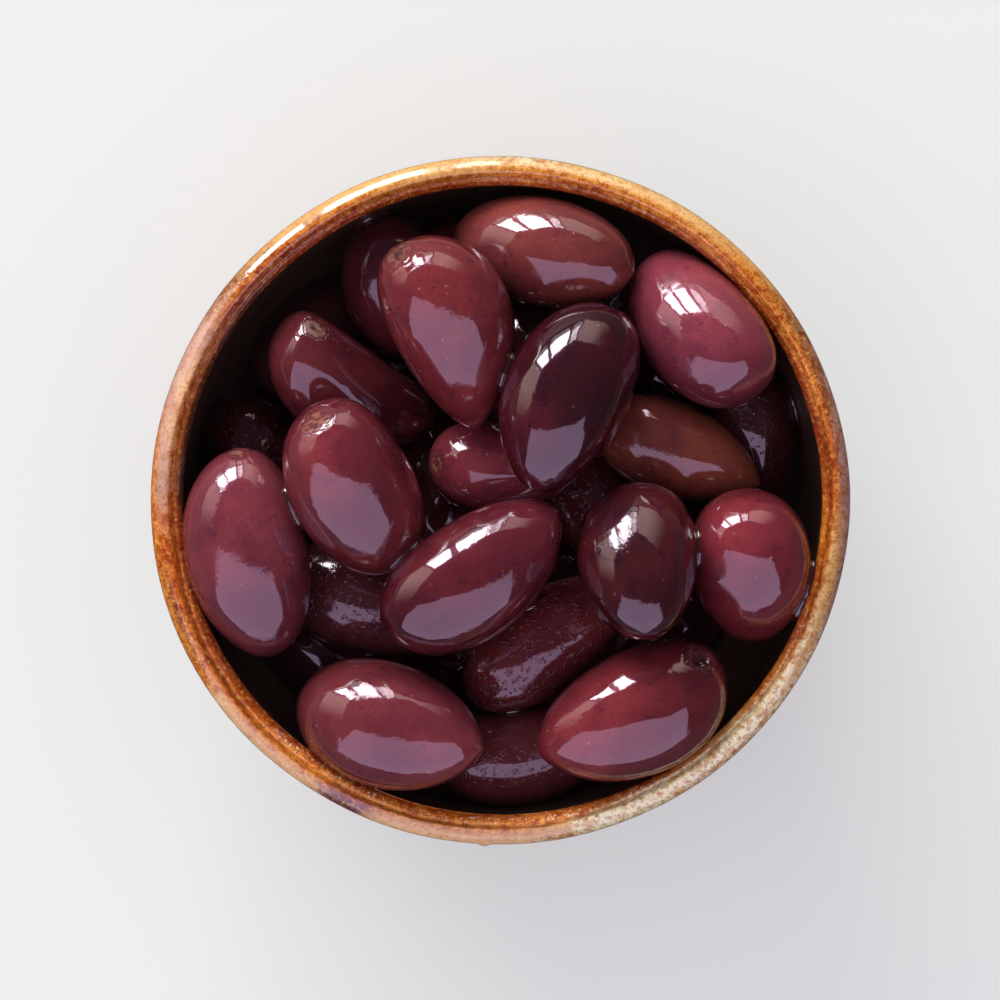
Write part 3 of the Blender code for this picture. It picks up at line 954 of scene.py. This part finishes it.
def make_window(lip, radiance):
    """Three tall panes side by side in the north, with thin dark bars between them."""
    panes = (("sky", PANE_RISE, (1.0, 0.985, 0.98), radiance),
             ("view", VIEW_RISE, (0.80, 1.0, 0.86), VIEW_RADIANCE))
    for number, (right, left) in enumerate(PANES):
        start = WINDOW_FAR * tan(radians(right - WINDOW_TURN))
        end = WINDOW_FAR * tan(radians(left - WINDOW_TURN))
        for part, rises, tint, bright in panes:
            low, high = [(WINDOW_FAR, lip + WINDOW_FAR * tan(radians(rise))) for rise in rises]
            soft_box(f"window_{part}_{number}", WINDOW_TURN, low, high, end - start, tint, bright,
                     slide=(start + end) / 2)


def ray_switch(tree, kind, value, otherwise):
    """value for rays of one kind and otherwise for the rest; each is a number or a socket."""
    rays = node(tree, "LightPath", kind)
    return node(tree, "Mix", "Result", {"Factor": rays, "A": otherwise, "B": value})


def make_floor(settings):
    """A wide plain floor under the bowl, dimmer in the brine's reflections."""
    reach = 6.0  # metres
    mesh = bpy.data.meshes.new("floor")
    corners = [(-reach, -reach, 0), (reach, -reach, 0), (reach, reach, 0), (-reach, reach, 0)]
    mesh.from_pydata(corners, [], [(0, 1, 2, 3)])
    floor = add_object("floor", mesh)
    made = Finish("pale_floor")
    grey = ray_switch(made.tree, "Is Glossy Ray", FLOOR_IN_GLOSS, FLOOR_BOUNCE)
    seen = ray_switch(made.tree, "Is Camera Ray", 1.0, 0.0)
    colour = made.mix(seen, grey, tuple(settings.floor))
    made.set(Base_Color=colour, Roughness=0.75, Specular_IOR_Level=0.2)
    made.set(Emission_Color=tuple(settings.floor_glow), Emission_Strength=seen)
    mesh.materials.append(made.material)


def make_world(room):
    """A room that is pale to look at, soft to light by and dim in reflections."""
    world = bpy.data.worlds.new("studio")
    bpy.context.scene.world = world
    world.use_nodes = True
    world.cycles.sampling_method = "NONE"  # it is even, and its light depends on the kind of ray
    tree = world.node_tree
    back = tree.nodes["Background"]
    back.inputs["Color"].default_value = (1.0, 0.965, 1.03, 1.0)
    rise = node(tree, "SeparateXYZ", "Z", {0: node(tree, "TexCoord", "Generated")})
    above = node(tree, "MapRange", "Result", {0: rise, 4: room}, interpolation_type="SMOOTHSTEP")
    glow = ray_switch(tree, "Is Diffuse Ray", above, ROOM_IN_GLOSS)
    glow = ray_switch(tree, "Is Camera Ray", ROOM_SEEN, glow)
    fill(tree, back.inputs["Strength"], glow)


def make_camera(settings, lip):
    """A camera straight above the bowl."""
    data = bpy.data.cameras.new("camera")
    data.sensor_width = 36.0
    data.lens = data.sensor_width * settings.camera_height / settings.view_width
    data.clip_start = 0.05
    camera = add_object("camera", data)
    camera.location = (0.0, 0.0, lip + settings.camera_height)
    bpy.context.scene.camera = camera


def make_stage(settings, lip):
    bpy.context.scene.view_settings.view_transform = "Standard"
    make_floor(settings)
    make_world(settings.room)
    make_camera(settings, lip)
    make_window(lip, settings.window)
    cloth = (1.0, 0.82, 0.70)
    upright, leaning = ((1.8, 0.08), (1.8, 1.22)), ((1.6, 0.10), (0.44, 1.70))
    soft_box("curtain_right", 66, *upright, 1.44, cloth, settings.curtain, fade=0)
    soft_box("curtain_left", 161, *upright, 1.35, cloth, settings.curtain, fade=1)
    soft_box("south_panel", -93, *leaning, 3.5, (0.78, 0.65, 0.93), settings.south)
    soft_box("daylight", WINDOW_TURN, (1.9, 0.38), (1.9, 1.24), 1.7, (0.95, 1.0, 0.90),
             settings.daylight, seen=False)
    soft_box("fill", 195, *leaning, 3.0, (1.0, 0.97, 1.0), settings.fill, seen=False)


# ---- operators and panel
def need(name):
    """A piece that must have been made already."""
    piece = bpy.data.objects.get(name)
    if piece is None:
        raise RuntimeError(f"{name} has to be made first")
    return piece


class OLIVEDISH_OT_bowl(bpy.types.Operator):
    """Make the glazed bowl with its lip, crease, drip and foot"""

    bl_idname = "olive_dish.bowl"
    bl_label = "Bowl"

    def execute(self, context):
        make_bowl(context.scene.olive_dish_bowl)
        return {"FINISHED"}


class OLIVEDISH_OT_olives(bpy.types.Operator):
    """Make the olives that show, one piece for each ripeness"""

    bl_idname = "olive_dish.olives"
    bl_label = "Olives"

    def execute(self, context):
        for kind in KINDS:
            make_olives(kind, context.scene.olive_dish_olives)
        return {"FINISHED"}


class OLIVEDISH_OT_below(bpy.types.Operator):
    """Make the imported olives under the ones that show"""

    bl_idname = "olive_dish.below"
    bl_label = "Packed olives below"

    def execute(self, context):
        finish = need("plum_olives").data.materials[0]
        make_core(finish, BowlShape(context.scene.olive_dish_bowl))
        return {"FINISHED"}


class OLIVEDISH_OT_brine(bpy.types.Operator):
    """Make the collars of brine where the olives touch each other and the bowl"""

    bl_idname = "olive_dish.brine"
    bl_label = "Brine"

    def execute(self, context):
        settings = context.scene.olive_dish_brine
        make_brine(need("stoneware_bowl"), context.scene.olive_dish_olives, settings,
                   brine_finish(settings))
        return {"FINISHED"}


class OLIVEDISH_OT_stage(bpy.types.Operator):
    """Make the floor, the lights, the dim room and the camera"""

    bl_idname = "olive_dish.stage"
    bl_label = "Stage"

    def execute(self, context):
        make_stage(context.scene.olive_dish_stage, context.scene.olive_dish_bowl.lip_top)
        return {"FINISHED"}


class OLIVEDISH_PT_panel(bpy.types.Panel):
    """The steps and settings of the dish of olives"""

    bl_idname = "OLIVEDISH_PT_panel"
    bl_label = "Dish of olives"
    bl_space_type = "VIEW_3D"
    bl_region_type = "UI"
    bl_category = "Olives"

    def draw(self, context):
        for step in OPERATORS:
            self.layout.operator(step.bl_idname)
        for name in SETTINGS:
            group = getattr(context.scene, name)
            box = self.layout.box()
            box.label(text=group.bl_rna.name)
            for key in group.bl_rna.properties.keys():
                if key not in ("rna_type", "name"):
                    box.prop(group, key)


OPERATORS = (OLIVEDISH_OT_bowl, OLIVEDISH_OT_olives, OLIVEDISH_OT_below, OLIVEDISH_OT_brine,
             OLIVEDISH_OT_stage)
SETTINGS = {
    "olive_dish_bowl": BowlSettings,
    "olive_dish_olives": OliveSettings,
    "olive_dish_brine": BrineSettings,
    "olive_dish_stage": StageSettings,
}
CLASSES = (*SETTINGS.values(), *OPERATORS, OLIVEDISH_PT_panel)


def register():
    for made in CLASSES:
        bpy.utils.register_class(made)
    for name, group in SETTINGS.items():
        setattr(bpy.types.Scene, name, PointerProperty(type=group))


def unregister():
    for name in SETTINGS:
        delattr(bpy.types.Scene, name)
    for made in reversed(CLASSES):
        bpy.utils.unregister_class(made)


def main():
    register()
    bpy.ops.olive_dish.bowl()
    bpy.ops.olive_dish.olives()
    bpy.ops.olive_dish.below()
    bpy.ops.olive_dish.brine()
    bpy.ops.olive_dish.stage()


if __name__ == "__main__":
    main()
